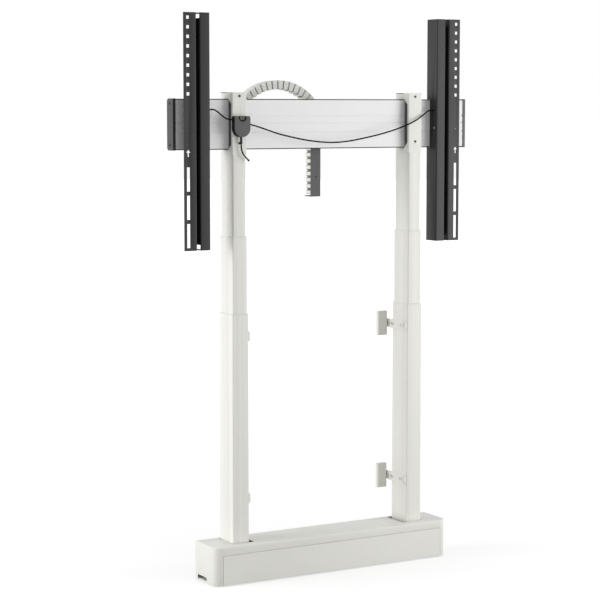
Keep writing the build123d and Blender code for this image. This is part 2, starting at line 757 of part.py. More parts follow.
def chain_link(chord, turn):
    """One hollow link round the origin, short enough for the turn to its neighbours."""
    slope = math.tan(math.radians(turn) / 2)
    body = chord - chain_height * slope - chain_gap
    neck = chord - chain_neck * slope - chain_gap
    link = Box(body, chain_width, chain_height) + Box(neck, chain_width, chain_neck)
    hollow = (chord + cut_over, chain_width - 2 * chain_wall, chain_height - 2 * chain_wall)
    return link - Box(*hollow)


def chain_pins():
    """The joints of the chain's links: up the longer leg, over the arch and down the other leg."""
    left_leg_x = 2 * chain_middle_x - chain_leg_x
    length = chain_link_count * chain_pitch
    path = Wire([
        Line((chain_leg_x, shelf_top), (chain_leg_x, shoulder_z)).edge(),
        CenterArc((chain_leg_x - chain_side_radius, shoulder_z), chain_side_radius, 0, shoulder_angle).edge(),
        CenterArc((chain_middle_x, chain_middle_z), chain_top_radius, shoulder_angle,
                  2 * chain_top_angle).edge(),
        CenterArc((left_leg_x + chain_side_radius, shoulder_z), chain_side_radius, 180 - shoulder_angle,
                  shoulder_angle).edge(),
        Line((left_leg_x, shoulder_z), (left_leg_x, shoulder_z - length)).edge()])
    return [path.position_at(step * chain_pitch, position_mode=PositionMode.LENGTH)
            for step in range(chain_link_count + 1)]


def chain_parts():
    """The cable chain behind the bar, the plate that carries it and its clip."""
    pins = chain_pins()
    runs = [after - before for before, after in zip(pins, pins[1:])]
    turns = [0] + [before.get_angle(after) for before, after in zip(runs, runs[1:])] + [0]
    y = chain_front + chain_width / 2
    links = []
    for step, run in enumerate(runs):
        middle = pins[step] + run / 2
        angle = math.degrees(math.atan2(run.Y, run.X))
        link = chain_link(run.length, max(turns[step], turns[step + 1]))
        links.append(Pos(middle.X, y, middle.Y) * Rot(0, -angle, 0) * link)
    keep("cable_chain", *links)

    plate_y = (chain_plate_front, chain_plate_front + chain_plate_sheet)
    plate = block(chain_plate_x, plate_y, (shelf_top - shelf_sheet, chain_plate_top))
    middle = sum(chain_plate_x) / 2
    plate -= rod((middle, chain_plate_front, chain_plate_hole[0]), chain_plate_hole[1],
                 4 * chain_plate_sheet, "y")
    plate += block(chain_plate_x, (chain_plate_front, chain_front + chain_width),
                   (shelf_top - shelf_sheet, shelf_top))
    spacer = block((middle - spacer_size[0] / 2, middle + spacer_size[0] / 2), (bar_back, chain_plate_front),
                   (spacer_level - spacer_size[1] / 2, spacer_level + spacer_size[1] / 2))
    keep("chain_plate", plate, spacer)

    end = pins[-1]
    x = (end.X - chain_height / 2, end.X + chain_height / 2)
    clip = block(x, (bar_back, chain_front + chain_width), (end.Y - clip_sheet, end.Y))
    clip += block(x, (bar_back, bar_back + clip_sheet), (end.Y - clip_sheet, end.Y + clip_drop))
    keep("chain_clip", clip)
    print("chain: leg at", round(chain_leg_x, 1), "middle", round(chain_middle_x, 1),
          "shoulder", round(shoulder_z, 1), "end", round(end.X, 1), round(end.Y, 1))


def cord_tube(route, radius, label):
    """A round cord: straight runs joined by arcs as large as the runs allow."""
    points = [Vector(*p) for p in route]
    radii = []
    for before, here, after in zip(points, points[1:], points[2:]):
        turn = (here - before).get_angle(after - here)
        run = min((here - before).length, (after - here).length)
        radii.append(cord_bend_share * run / math.tan(math.radians(turn) / 2))
    path = FilletPolyline(*points, radius=radii)
    line = path.edges()[0]
    start = Plane(origin=path @ 0, z_dir=line % 0)
    tube = sweep(start * Circle(radius), path=path)
    expected = math.pi * radius ** 2 * path.length
    print(label, "length", round(path.length, 1), "volume ratio", round(tube.volume / expected, 4),
          "radii", [round(r, 1) for r in radii])
    return tube


def pull_handle():
    """The D-shaped grip with a round scoop in its front."""
    half = handle_width / 2
    low = handle_top - handle_height
    shape = make_face(Polyline([
        (handle_x - half, handle_top), (handle_x + half, handle_top), (handle_x + half, low + half),
        (handle_x - half, low + half)], close=True))
    shape = fillet(shape.vertices().filter_by(lambda v: v.Y > low + half + handle_corner), handle_corner)
    shape += Pos(handle_x, low + half) * Circle(half)
    body = extrude(Plane.XZ.offset(-handle_back) * shape, handle_depth)
    body = fillet(body.edges().group_by(Axis.Y)[0], handle_edge)
    scoop_z = handle_top - scoop_step
    scoop = rod((handle_x, handle_front, scoop_z), scoop_radius, 2 * scoop_depth, "y")
    scoop += block((handle_x - scoop_radius, handle_x + scoop_radius),
                   (handle_front - scoop_depth, handle_front + scoop_depth), (scoop_z, handle_top + cut_over))
    return body - scoop


def cord_parts():
    """The pull handle, its cords, the sleeve under it and the bead on the tail."""
    keep("pull_handle", pull_handle())
    keep("left_pull_cord", cord_tube(left_route, cord_radius, "left pull cord"))
    keep("right_pull_cord", cord_tube(right_route, cord_radius, "right pull cord"))
    keep("cord_tail", cord_tube(tail_route, cord_radius, "cord tail"))
    top = handle_top - handle_height
    sleeve = rod((handle_x, cord_y, top - sleeve_length / 2), sleeve_radius, sleeve_length, "z")
    end = Vector(*tail_route[-1])
    run = (end - Vector(*tail_route[-2])).normalized()
    bead = Plane(origin=end + run * end_bead / 2, z_dir=run) * Cylinder(end_bead, end_bead)
    keep("cord_sleeves", sleeve, bead)


def write_parts():
    """Writes one STEP file for each node."""
    os.makedirs("parts", exist_ok=True)
    for name, solids in parts.items():
        shape = solids[0] if len(solids) == 1 else Compound(children=solids)
        export_step(shape, "parts/" + name + ".step")
    print(len(parts), "nodes,", sum(len(s) for s in parts.values()), "solids")


base_parts()
drive_parts()
column_parts()
arm_parts()
bar_parts()
head_parts()
for side_name, side_sign in sides.items():
    strip_part(side_name, side_sign)
    latch_parts(side_name, side_sign)
chain_parts()
cord_parts()
write_parts()
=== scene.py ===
import bmesh
import bpy
import json
import math
from mathutils import Matrix, Vector


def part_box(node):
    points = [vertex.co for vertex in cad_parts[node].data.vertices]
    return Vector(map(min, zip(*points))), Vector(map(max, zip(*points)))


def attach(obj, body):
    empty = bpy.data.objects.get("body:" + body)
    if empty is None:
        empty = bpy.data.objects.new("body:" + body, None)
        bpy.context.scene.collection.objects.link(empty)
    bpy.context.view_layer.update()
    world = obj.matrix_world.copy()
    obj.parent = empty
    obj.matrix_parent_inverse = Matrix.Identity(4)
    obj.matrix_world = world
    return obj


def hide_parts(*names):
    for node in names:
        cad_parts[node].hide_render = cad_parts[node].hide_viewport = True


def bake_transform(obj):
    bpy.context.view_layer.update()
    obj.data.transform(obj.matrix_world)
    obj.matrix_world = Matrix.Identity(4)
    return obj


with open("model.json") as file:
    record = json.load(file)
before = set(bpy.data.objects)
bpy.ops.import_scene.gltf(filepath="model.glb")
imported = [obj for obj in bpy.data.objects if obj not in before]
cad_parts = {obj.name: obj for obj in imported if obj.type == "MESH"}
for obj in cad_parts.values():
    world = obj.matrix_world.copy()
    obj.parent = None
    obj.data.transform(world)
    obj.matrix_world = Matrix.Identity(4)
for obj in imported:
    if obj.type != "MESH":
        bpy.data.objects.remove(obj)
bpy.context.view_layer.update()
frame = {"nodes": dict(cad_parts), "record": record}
mm = 0.001
sides = ("left", "right")
print("stage: frame loaded")

# camera, fitted to the photograph
cameraSetup = {
    "place": (-2.7032, -4.54885, 1.29143),
    "turn": 0.5242,        # to the right of straight ahead, in radians
    "pitch": 0.1002,       # looking down
    "lens": 114.0,
    "sensor": 36.0,
}


def makeCamera(setup):
    data = bpy.data.cameras.new("photoCamera")
    data.sensor_width = setup["sensor"]
    data.lens = setup["lens"]
    camera = bpy.data.objects.new("photoCamera", data)
    camera.location = setup["place"]
    camera.rotation_euler = (math.pi / 2 - setup["pitch"], 0, -setup["turn"])
    bpy.context.scene.collection.objects.link(camera)
    bpy.context.scene.camera = camera


makeCamera(cameraSetup)


# materials: the patterns' depths are in metres, their scales in cells per metre
patterns = {
    "coatDepth": 0.00012,
    "coatSpread": 0.06,           # how far the roughness goes up and down
    "plasticPatch": 18.0,
    "plasticDepth": 0.0001,
    "plasticSpread": (0.05, 0.07),
    "metalDepth": 0.00008,
    "metalSpread": 0.07,
    "cordRough": 0.75,
    "cordGloss": 0.05,
    "cordStrand": 1100,
    "cordRelief": 0.6,
    "cordDepth": 0.0003,
    "threadBand": 0.31,           # wave scale that gives one band for each turn, times the pitch
    "threadRelief": 0.8,
    "threadDepth": 0.001,
}


def newMaterial(name, colour, roughness, metallic=0.0, **sockets):
    material = bpy.data.materials.new(name)
    material.use_nodes = True
    shader = material.node_tree.nodes["Principled BSDF"]
    shader.inputs["Base Color"].default_value = (*colour, 1)
    shader.inputs["Roughness"].default_value = roughness
    shader.inputs["Metallic"].default_value = metallic
    for label, value in sockets.items():
        shader.inputs[label.replace("_", " ")].default_value = value
    return material, material.node_tree.nodes, material.node_tree.links, shader


def objectCoords(nodes, links, stretch=(1, 1, 1)):
    coords = nodes.new("ShaderNodeTexCoord")
    mapping = nodes.new("ShaderNodeMapping")
    mapping.inputs["Scale"].default_value = stretch
    links.new(coords.outputs["Object"], mapping.inputs["Vector"])
    return mapping.outputs["Vector"]


def noiseOn(nodes, links, vector, scale, detail=3.0, rough=0.5):
    noise = nodes.new("ShaderNodeTexNoise")
    noise.inputs["Scale"].default_value = scale
    noise.inputs["Detail"].default_value = detail
    noise.inputs["Roughness"].default_value = rough
    links.new(vector, noise.inputs["Vector"])
    return noise.outputs["Fac"]


def mixColours(nodes, links, factor, first, second, spread=(0.35, 0.65)):
    ramp = nodes.new("ShaderNodeValToRGB")
    ramp.color_ramp.elements[0].position = spread[0]
    ramp.color_ramp.elements[1].position = spread[1]
    ramp.color_ramp.elements[0].color = (*first, 1)
    ramp.color_ramp.elements[1].color = (*second, 1)
    links.new(factor, ramp.inputs["Fac"])
    return ramp.outputs["Color"]


def spreadValue(nodes, links, factor, low, high):
    span = nodes.new("ShaderNodeMapRange")
    span.inputs["To Min"].default_value = low
    span.inputs["To Max"].default_value = high
    links.new(factor, span.inputs["Value"])
    return span.outputs["Result"]


def bumpFrom(nodes, links, shader, height, strength, distance):
    bump = nodes.new("ShaderNodeBump")
    bump.inputs["Strength"].default_value = strength
    bump.inputs["Distance"].default_value = distance
    links.new(height, bump.inputs["Height"])
    links.new(bump.outputs["Normal"], shader.inputs["Normal"])


def powderCoat(name, colour, tint, roughness, grain=900, strength=0.16, patch=6.0, gloss=0.5,
               stretch=(1, 1, 1)):
    material, nodes, links, shader = newMaterial(name, colour, roughness, Specular_IOR_Level=gloss)
    vector = objectCoords(nodes, links)
    patches = noiseOn(nodes, links, objectCoords(nodes, links, stretch), patch, detail=4.0)
    links.new(mixColours(nodes, links, patches, colour, tint), shader.inputs["Base Color"])
    peel = noiseOn(nodes, links, vector, grain, detail=2.0)
    spread = patterns["coatSpread"]
    rough = spreadValue(nodes, links, peel, roughness - spread, roughness + spread)
    links.new(rough, shader.inputs["Roughness"])
    bumpFrom(nodes, links, shader, peel, strength, patterns["coatDepth"])
    return material


def mouldedPlastic(name, colour, tint, roughness, grain=1500, strength=0.22, gloss=0.5):
    material, nodes, links, shader = newMaterial(name, colour, roughness, Specular_IOR_Level=gloss)
    vector = objectCoords(nodes, links)
    patches = noiseOn(nodes, links, vector, patterns["plasticPatch"])
    links.new(mixColours(nodes, links, patches, colour, tint), shader.inputs["Base Color"])
    pits = nodes.new("ShaderNodeTexVoronoi")
    pits.inputs["Scale"].default_value = grain
    links.new(vector, pits.inputs["Vector"])
    down, up = patterns["plasticSpread"]
    rough = spreadValue(nodes, links, patches, roughness - down, roughness + up)
    links.new(rough, shader.inputs["Roughness"])
    bumpFrom(nodes, links, shader, pits.outputs["Distance"], strength, patterns["plasticDepth"])
    return material


def drawnMetal(name, colour, tint, roughness, along=(1, 60, 60), grain=40, metallic=1.0, strength=0.1):
    material, nodes, links, shader = newMaterial(name, colour, roughness, metallic)
    vector = objectCoords(nodes, links, along)
    lines = noiseOn(nodes, links, vector, grain, detail=4.0, rough=0.6)
    links.new(mixColours(nodes, links, lines, colour, tint), shader.inputs["Base Color"])
    spread = patterns["metalSpread"]
    rough = spreadValue(nodes, links, lines, roughness - spread, roughness + spread)
    links.new(rough, shader.inputs["Roughness"])
    bumpFrom(nodes, links, shader, lines, strength, patterns["metalDepth"])
    return material


def braidedCord(name, colour, tint):
    material, nodes, links, shader = newMaterial(name, colour, patterns["cordRough"],
                                                 Specular_IOR_Level=patterns["cordGloss"])
    vector = objectCoords(nodes, links)
    strands = nodes.new("ShaderNodeTexVoronoi")
    strands.inputs["Scale"].default_value = patterns["cordStrand"]
    links.new(vector, strands.inputs["Vector"])
    links.new(mixColours(nodes, links, strands.outputs["Distance"], colour, tint, spread=(0.2, 0.7)),
              shader.inputs["Base Color"])
    bumpFrom(nodes, links, shader, strands.outputs["Distance"], patterns["cordRelief"],
             patterns["cordDepth"])
    return material


def threadedSteelPaintedShade(name, colour, tint, roughness, pitch):
    material, nodes, links, shader = newMaterial(name, colour, roughness, metallic=1.0)
    vector = objectCoords(nodes, links)
    thread = nodes.new("ShaderNodeTexWave")
    thread.bands_direction = "Z"
    thread.inputs["Scale"].default_value = patterns["threadBand"] / pitch
    thread.inputs["Distortion"].default_value = 0
    links.new(vector, thread.inputs["Vector"])
    # the colour is lighter on the thread's crests and darker in its roots: a painted highlight on the
    # crests and painted shade in the roots
    links.new(mixColours(nodes, links, thread.outputs["Fac"], colour, tint), shader.inputs["Base Color"])
    bumpFrom(nodes, links, shader, thread.outputs["Fac"], patterns["threadRelief"],
             patterns["threadDepth"])
    return material


finishes = {
    "white_steel": powderCoat("warmWhiteCoat", (0.785, 0.78, 0.735), (0.805, 0.8, 0.757), 0.44),
    "black_steel": powderCoat("blackCoat", (0.015, 0.015, 0.015), (0.02, 0.02, 0.02), 0.42,
                              grain=1100, strength=0.2, gloss=0.28),
    "dark_steel": powderCoat("darkGreyCoat", (0.04, 0.04, 0.042), (0.05, 0.05, 0.052), 0.5,
                             grain=1000, strength=0.2),
    "silver_bar": drawnMetal("satinAnodised", (0.82, 0.82, 0.82), (0.845, 0.845, 0.845), 0.55,
                             metallic=0.06, strength=0.06),
    "bright_steel": drawnMetal("zincSteel", (0.56, 0.56, 0.58), (0.68, 0.68, 0.69), 0.32,
                               along=(1, 1, 1), grain=300),
    "black_plastic": mouldedPlastic("blackPlastic", (0.006, 0.006, 0.006), (0.009, 0.009, 0.009), 0.45,
                                    gloss=0.3),
    "grey_plastic": mouldedPlastic("handleGrey", (0.07, 0.07, 0.073), (0.084, 0.084, 0.087), 0.6),
    "chain_plastic": mouldedPlastic("chainWhite", (0.73, 0.725, 0.69), (0.76, 0.755, 0.72), 0.5),
    "pad_plastic": mouldedPlastic("padGrey", (0.79, 0.785, 0.72), (0.81, 0.805, 0.75), 0.6),
    "white_plastic": mouldedPlastic("collarWhite", (0.75, 0.745, 0.7), (0.78, 0.775, 0.735), 0.45),
    "foot_rubber": mouldedPlastic("footRubber", (0.022, 0.022, 0.022), (0.034, 0.034, 0.034), 0.85,
                                  grain=700, strength=0.4),
    "cord_cover": braidedCord("cordBraid", (0.002, 0.002, 0.002), (0.006, 0.006, 0.006)),
    "cable_cover": mouldedPlastic("cableSheath", (0.008, 0.008, 0.008), (0.014, 0.014, 0.014), 0.6,
                                  grain=600, gloss=0.3),
}
capBlack = mouldedPlastic("capBlack", (0.017, 0.017, 0.017), (0.024, 0.024, 0.024), 0.4)
capGrey = mouldedPlastic("capGrey", (0.075, 0.075, 0.076), (0.09, 0.09, 0.091), 0.55, gloss=0.25)
handleDark = mouldedPlastic("handleBlack", (0.004, 0.004, 0.004), (0.006, 0.006, 0.006), 0.6, gloss=0.15)
# the tubes' white coat, a little lighter and darker in vertical streaks
tubeCoat = powderCoat("drawnWhiteCoat", (0.755, 0.75, 0.705), (0.82, 0.815, 0.772), 0.44, patch=70,
                      stretch=(1, 1, 0.004))
spindleFinish = threadedSteelPaintedShade("spindleThread", (0.42, 0.42, 0.44), (0.62, 0.62, 0.63), 0.3, pitch=0.004)
slotOfNode = {p["node"]: p["material_slot"] for p in frame["record"]["subparts"]}
bodyOfNode = {n: b for b, group in frame["record"]["behaviour"]["bodies"].items() for n in group}
for node, part in frame["nodes"].items():
    part.data.materials.clear()
    part.data.materials.append(finishes[slotOfNode[node]])
for side in sides:
    frame["nodes"][side + "_spindle"].data.materials[0] = spindleFinish
print("stage: materials made")


# shared making steps
cadMesh = {
    "mergeGap": 0.000005,
    "flatAngle": math.radians(0.5),     # faces that meet flatter than this are one face
    "cutGap": 0.000001,
}


def finishPiece(name, mesh, slotName, body, *stoodFor):
    data = bpy.data.meshes.new(name)
    mesh.to_mesh(data)
    mesh.free()
    piece = bpy.data.objects.new(name, data)
    bpy.context.scene.collection.objects.link(piece)
    data.materials.append(finishes[slotName])
    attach(piece, body)
    if stoodFor:
        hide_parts(*stoodFor)
    return piece


def mergedCopy(node):
    mesh = bmesh.new()
    mesh.from_mesh(frame["nodes"][node].data)
    bmesh.ops.remove_doubles(mesh, verts=mesh.verts, dist=cadMesh["mergeGap"])
    bmesh.ops.dissolve_limit(mesh, angle_limit=cadMesh["flatAngle"], verts=mesh.verts, edges=mesh.edges)
    return mesh


def sharpEdges(mesh, least=25.0):
    limit = math.radians(least)
    return [e for e in mesh.edges if len(e.link_faces) == 2 and e.calc_face_angle(0) > limit]


def softenEdges(mesh, edges, width, steps=2):
    bmesh.ops.bevel(mesh, geom=edges, offset=width, segments=steps, profile=0.5, affect="EDGES",
                    clamp_overlap=True, material=-1)


def smoothFaces(piece, limit=25.0):
    for face in piece.data.polygons:
        face.use_smooth = True
    for edge in piece.data.edges:
        edge.use_edge_sharp = False
    piece.data.set_sharp_from_angle(angle=math.radians(limit))


def islandBoxes(node):
    # the lowest and highest corner of each separate solid of a node
    mesh = mergedCopy(node)
    waiting = set(mesh.verts)
    boxes = []
    for start in mesh.verts:
        if start not in waiting:
            continue
        waiting.discard(start)
        front = [start]
        found = [start]
        while front:
            vert = front.pop()
            for edge in vert.link_edges:
                other = edge.other_vert(vert)
                if other in waiting:
                    waiting.discard(other)
                    front.append(other)
                    found.append(other)
        low = Vector([min(v.co[i] for v in found) for i in range(3)])
        high = Vector([max(v.co[i] for v in found) for i in range(3)])
        boxes.append((low, high))
    mesh.free()
    return boxes


def addBlock(mesh, low, high, seat=Matrix.Identity(4)):
    middle = (Vector(low) + Vector(high)) / 2
    size = Vector(high) - Vector(low)
    place = seat @ Matrix.Translation(middle) @ Matrix.Diagonal((*size, 1))
    return bmesh.ops.create_cube(mesh, size=1, matrix=place)["verts"]


def addDisc(mesh, base, outward, radius, height, segments=24):
    turn = Vector((0, 0, 1)).rotation_difference(Vector(outward)).to_matrix().to_4x4()
    seat = Matrix.Translation(base) @ turn
    made = bmesh.ops.create_cone(mesh, cap_ends=True, segments=segments, radius1=radius, radius2=radius,
                                 depth=height, matrix=seat @ Matrix.Translation((0, 0, height / 2)))
    return made["verts"], seat


def farFace(verts, outward):
    # the end of a disc that lies furthest along a direction
    faces = {f for v in verts for f in v.link_faces if len(f.verts) > 4}
    return max(faces, key=lambda f: f.calc_center_median().dot(Vector(outward)))


def dressNode(node, name, width, steps=2, least=25.0, smoothed=25.0):
    mesh = mergedCopy(node)
    softenEdges(mesh, sharpEdges(mesh, least), width, steps)
    piece = finishPiece(name, mesh, slotOfNode[node], bodyOfNode[node], node)
    smoothFaces(piece, smoothed)
    return piece


# how far the edges of shells, tubes and small parts are broken
edgeBreaks = {
    "base_cover": 0.0004, "front_panel": 0.0004, "back_panel": 0.0004, "base_plate": 0.0003,
    "foot_plates": 0.0005, "control_box": 0.001, "mains_inlet": 0.0003,
    "left_gear_motor": 0.0006, "right_gear_motor": 0.0006,
    "left_outer_tube": 0.0002, "right_outer_tube": 0.0002, "left_middle_tube": 0.0002,
    "right_middle_tube": 0.0002, "left_inner_tube": 0.0002, "right_inner_tube": 0.0002,
    "outer_collars": 0.0005, "left_middle_collar": 0.0005, "right_middle_collar": 0.0005,
    "left_lower_arm": 0.0004, "left_upper_arm": 0.0004, "right_lower_arm": 0.0004,
    "right_upper_arm": 0.0004, "left_head_strap": 0.0003, "right_head_strap": 0.0003,
    "head_caps": 0.0005, "bar_edge_strips": 0.0006, "left_strip": 0.0003, "right_strip": 0.0003,
    "left_latch": 0.0005, "right_latch": 0.0005, "left_latch_pin": 0.0004, "right_latch_pin": 0.0004,
    "chain_plate": 0.0003, "chain_clip": 0.0003, "wall_pads": 0.0014, "cord_sleeves": 0.0007,
    "spindle_nuts": 0.0005, "inner_glides": 0.0004, "left_middle_glides": 0.0004,
    "right_middle_glides": 0.0004,
}


def camelName(node):
    words = node.split("_")
    return words[0] + "".join(w.capitalize() for w in words[1:])


for node, width in edgeBreaks.items():
    piece = dressNode(node, camelName(node), width)
    if node.endswith("_tube"):
        piece.data.materials[0] = tubeCoat
print("stage: edges softened")

# screws and bolts: a head with a hexagon socket, and the shank behind it
screwForms = {
    "socket": 0.55,           # across the socket's flats, as a share of the head
    "sink": 0.6,              # depth of the socket, as a share of the head's height
    "rim": 0.3 * mm,
    "corners": 24,            # of the head's rim
    "inset": 0.2,             # first step from the rim to the socket, as a share of the radius
    "slope": 0.02 * mm,       # how far the socket narrows
    "nodes": {
        "head_screws": {"axis": 1, "way": "front", "head": 1.6 * mm, "shank": 2.2 * mm},
        "arm_screws": {"axis": 0, "way": "inwards", "head": 2.5 * mm, "shank": 3.0 * mm},
        "end_cap_screws": {"axis": 0, "way": "outwards", "head": 1.2 * mm, "shank": 0},
        "foot_bolts": {"axis": 2, "way": "up", "head": 5.5 * mm, "shank": 4.0 * mm},
    },
}


def outwardOf(way, middle):
    across = math.copysign(1, middle.x)
    return {"front": Vector((0, -1, 0)), "up": Vector((0, 0, 1)),
            "inwards": Vector((-across, 0, 0)), "outwards": Vector((across, 0, 0))}[way]


def makeScrews(node, form):
    mesh = bmesh.new()
    for low, high in islandBoxes(node):
        middle = (low + high) / 2
        outward = outwardOf(form["way"], middle)
        across = [i for i in range(3) if i != form["axis"]]
        radius = max(high[i] - low[i] for i in across) / 2
        reach = (high - low)[form["axis"]]
        base = middle + outward * (reach / 2 - form["head"])
        verts, seat = addDisc(mesh, base, outward, radius, form["head"], screwForms["corners"])
        top = farFace(verts, outward)
        bmesh.ops.bevel(mesh, geom=list(top.edges), offset=screwForms["rim"], segments=2, profile=0.5,
                        affect="EDGES", material=-1)
        ends = [f for f in mesh.faces if len(f.verts) == screwForms["corners"]]
        near = [f for f in ends if (f.calc_center_median() - base).length < reach * 2]
        top = max(near, key=lambda f: f.calc_center_median().dot(outward))
        flats = radius * screwForms["socket"]
        bmesh.ops.inset_region(mesh, faces=[top], thickness=radius * screwForms["inset"], depth=0)
        for vert in top.verts:
            spot = seat.inverted() @ vert.co
            angle = math.atan2(spot.y, spot.x)
            far = flats / math.cos(angle % (math.pi / 3) - math.pi / 6)
            vert.co = seat @ Vector((far * math.cos(angle), far * math.sin(angle), spot.z))
        bmesh.ops.inset_region(mesh, faces=[top], thickness=screwForms["slope"],
                               depth=-form["head"] * screwForms["sink"])
        if form["shank"]:
            behind = reach - form["head"]
            addDisc(mesh, base - outward * behind, outward, form["shank"], behind)
    slotName = "black_steel" if node == "end_cap_screws" else slotOfNode[node]
    piece = finishPiece(camelName(node), mesh, slotName, bodyOfNode[node], node)
    smoothFaces(piece)


for node, form in screwForms["nodes"].items():
    makeScrews(node, form)
dressNode("panel_screws", "panelScrews", 0.0003)
dressNode("lift_bar", "liftBar", 0.0003, least=12, smoothed=5)
dressNode("head_blocks", "headBlocks", 0.0006).data.materials[0] = capGrey
for side in sides:
    dressNode(side + "_end_cap", side + "EndCap", 0.001).data.materials[0] = capBlack
print("stage: screws made")

# cable chain: side plates with recessed tongues between them, crossbars and pin heads
chainForm = {
    "links": 35,
    "pitch": 17.5 * mm,
    "arch": 1370.0 * mm,          # outer face of the arch's top
    "topRadius": 146.0 * mm,
    "sideRadius": 60.0 * mm,
    "topAngle": math.radians(40),
    "leg": -3.5 * mm,
    "foot": 1050.5 * mm,
    "front": 37.0 * mm,
    "width": 32.0 * mm,
    "height": 24.0 * mm,
    "plate": 1.9 * mm,
    "groove": 4.6 * mm,           # between two side plates, over the tongue
    "tongueSink": 3.6 * mm,
    "tongueRise": 0.78,           # share of the half height, on the inner side
    "tongueDrop": 0.86,           # the same on the outer side
    "tongueSheet": 0.7,           # share of a side plate's thickness
    "tongueReach": 1.3,           # share of the groove, to each side
    "cutCorner": 2.4 * mm,        # inner corners of the side plates
    "pin": 2.3 * mm,
    "pinHeight": 0.4 * mm,
    "pinDrop": 0.15,              # share of the half height, towards the outer side
    "bar": 2.0 * mm,
    "barGap": 0.25,               # share of the groove between two outer crossbars
    "innerBar": 0.27,             # half the inner crossbar, as a share of the link
    "crease": 40,                 # degrees from which an edge is softened
    "edge": 0.25 * mm,
}


def chainPoint(form, run):
    # the place of a joint in the plane of the chain, a given run from its foot
    shoulder = math.pi / 2 - form["topAngle"]
    step = form["topRadius"] - form["sideRadius"]
    middleZ = form["arch"] - form["height"] / 2 - form["topRadius"]
    shoulderZ = middleZ + step * math.sin(shoulder)
    middleX = form["leg"] - form["sideRadius"] - step * math.cos(shoulder)
    run -= shoulderZ - form["foot"]
    if run < 0:
        return Vector((form["leg"], shoulderZ + run))
    sideRun = form["sideRadius"] * shoulder
    topRun = form["topRadius"] * 2 * form["topAngle"]
    if run < sideRun:
        angle = run / form["sideRadius"]
        return Vector((form["leg"] - form["sideRadius"] + form["sideRadius"] * math.cos(angle),
                       shoulderZ + form["sideRadius"] * math.sin(angle)))
    run -= sideRun
    if run < topRun:
        angle = shoulder + run / form["topRadius"]
        return Vector((middleX + form["topRadius"] * math.cos(angle),
                       middleZ + form["topRadius"] * math.sin(angle)))
    run -= topRun
    farLeg = 2 * middleX - form["leg"]
    if run < sideRun:
        angle = math.pi - shoulder + run / form["sideRadius"]
        return Vector((farLeg + form["sideRadius"] * (1 + math.cos(angle)),
                       shoulderZ + form["sideRadius"] * math.sin(angle)))
    return Vector((farLeg, shoulderZ - (run - sideRun)))


def addChainLink(mesh, form, seat, chord, slope, last):
    # along X, with the inside of the arch at +Z
    half = form["height"] / 2
    face = form["width"] / 2 - form["pinHeight"]
    for way in (-1, 1):
        level = sorted((way * face, way * (face - form["plate"])))
        verts = addBlock(mesh, (-0.5, level[0], -half), (0.5, level[1], half))
        for vert in verts:
            reach = (chord - form["groove"]) / 2 - vert.co.z * slope
            vert.co.x = math.copysign(reach, vert.co.x)
        around = dict.fromkeys(e for v in verts for e in v.link_edges)
        corners = [e for e in around if e.verts[0].co.z > 0 and e.verts[1].co.z > 0 and
                   abs(e.verts[0].co.x - e.verts[1].co.x) < form["pinHeight"]]
        made = bmesh.ops.bevel(mesh, geom=corners, offset=form["cutCorner"], segments=1, profile=0.5,
                               affect="EDGES", material=-1)
        linked = made["verts"] + [v for v in verts if v.is_valid]
        grown = dict.fromkeys(v for start in linked for e in start.link_edges for v in e.verts)
        bmesh.ops.transform(mesh, matrix=seat, verts=list(grown))
        pinBase = seat @ Vector((0, way * face, -half * form["pinDrop"]))
        outward = seat.to_3x3() @ Vector((0, way, 0))
        addDisc(mesh, pinBase, outward, form["pin"], form["pinHeight"], 16)
        if not last:
            sink = face - form["tongueSink"]
            deep = sorted((way * sink, way * (sink - form["plate"] * form["tongueSheet"])))
            reach = form["groove"] * form["tongueReach"]
            addBlock(mesh, (chord / 2 - reach, deep[0], -half * form["tongueDrop"]),
                     (chord / 2 + reach, deep[1], half * form["tongueRise"]), seat)
    inside = face - form["plate"]
    outer = (chord - form["groove"] * form["barGap"]) / 2 + half * slope
    for wide, z in ((outer, -half), (chord * form["innerBar"], half - form["bar"])):
        addBlock(mesh, (-wide, -inside, z), (wide, inside, z + form["bar"]), seat)


def makeChain(form):
    mesh = bmesh.new()
    pins = [chainPoint(form, form["pitch"] * step) for step in range(form["links"] + 1)]
    runs = [after - before for before, after in zip(pins, pins[1:])]
    middleY = form["front"] + form["width"] / 2
    for step, run in enumerate(runs):
        beside = runs[min(step + 1, len(runs) - 1)]
        bend = run.angle(beside) if step < len(runs) - 1 else 0
        middle = (pins[step] + pins[step + 1]) / 2
        seat = (Matrix.Translation((middle.x, middleY, middle.y))
                @ Matrix.Rotation(-math.atan2(run.y, run.x), 4, "Y"))
        addChainLink(mesh, form, seat, run.length, math.tan(bend / 2), step == len(runs) - 1)
    bmesh.ops.recalc_face_normals(mesh, faces=mesh.faces)
    softenEdges(mesh, sharpEdges(mesh, form["crease"]), form["edge"], 1)
    piece = finishPiece("cableChain", mesh, "chain_plastic", bodyOfNode["cable_chain"], "cable_chain")
    smoothFaces(piece)


makeChain(chainForm)
print("stage: cable chain made")

# pull handle: a dark body, a grey face and a dished disc in the scoop
handleForm = {
    "face": 1.6 * mm,
    "scoopDepth": 3.0 * mm,
    "scoopDrop": 3.0 * mm,        # the scoop's centre below the top
    "discRadius": 8.2 * mm,
    "discSink": 0.7 * mm,
    "discTop": 0.5 * mm,
    "dish": 0.5 * mm,
    "dishRim": 3,                 # the flat rim round the dish, in softened edges
    "discCorners": 48,
    "edge": 0.4 * mm,
    "crease": 40,                 # degrees from which an edge is softened
}


